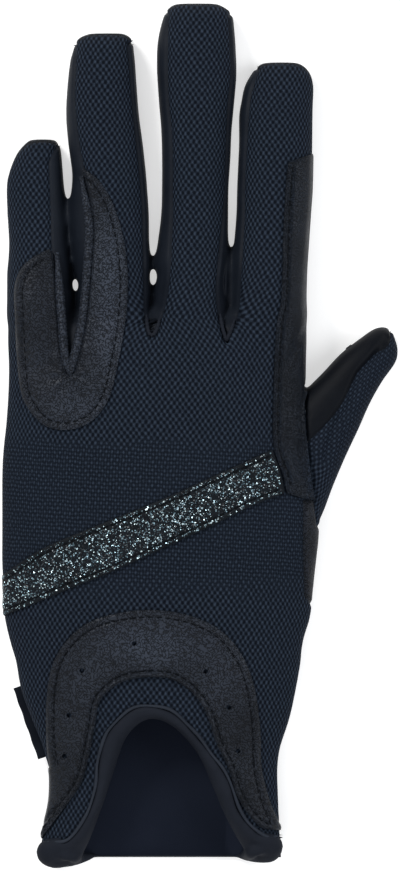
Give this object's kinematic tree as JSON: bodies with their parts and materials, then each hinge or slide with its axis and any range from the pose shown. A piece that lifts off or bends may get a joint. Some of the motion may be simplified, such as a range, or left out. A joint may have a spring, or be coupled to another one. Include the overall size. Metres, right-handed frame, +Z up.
{
  "type": "horse riding glove",
  "caption": "Riding glove for the left hand: knitted mesh back, leather palm, rein and wrist patches, glitter band, notched cuff with a soft rolled binding.",
  "frame": {"origin": "middle of the glove's bounding box, on the surface it lies on", "axes": "+Y towards the fingertips, +X towards the thumb's side, +Z up out of the back of the hand"},
  "size_m": [0.1046, 0.229, 0.0218],
  "materials": {
    "mesh_knit": "open knitted mesh with a slight sheen on the raised loops",
    "leather": "grained, semi-matt",
    "strip_leather": "smooth, soft, matt",
    "glitter": "coarse silver glitter on a dark ground",
    "binding_cloth": "soft rolled stretch cloth, matt",
    "ribbon": "fine woven, matt"
  },
  "bodies": {
    "root": {"back": "mesh_knit", "palm": "leather", "strip_little_ring": "strip_leather", "strip_ring_middle": "strip_leather", "strip_middle_index": "strip_leather", "thumb_front": "strip_leather", "thumb_back": "mesh_knit", "rein_patch": "leather", "index_strip": "leather", "glitter_band": "glitter", "wrist_panel": "leather", "cuff_binding": "binding_cloth", "side_tab": "ribbon"}
  },
  "joints": []
}
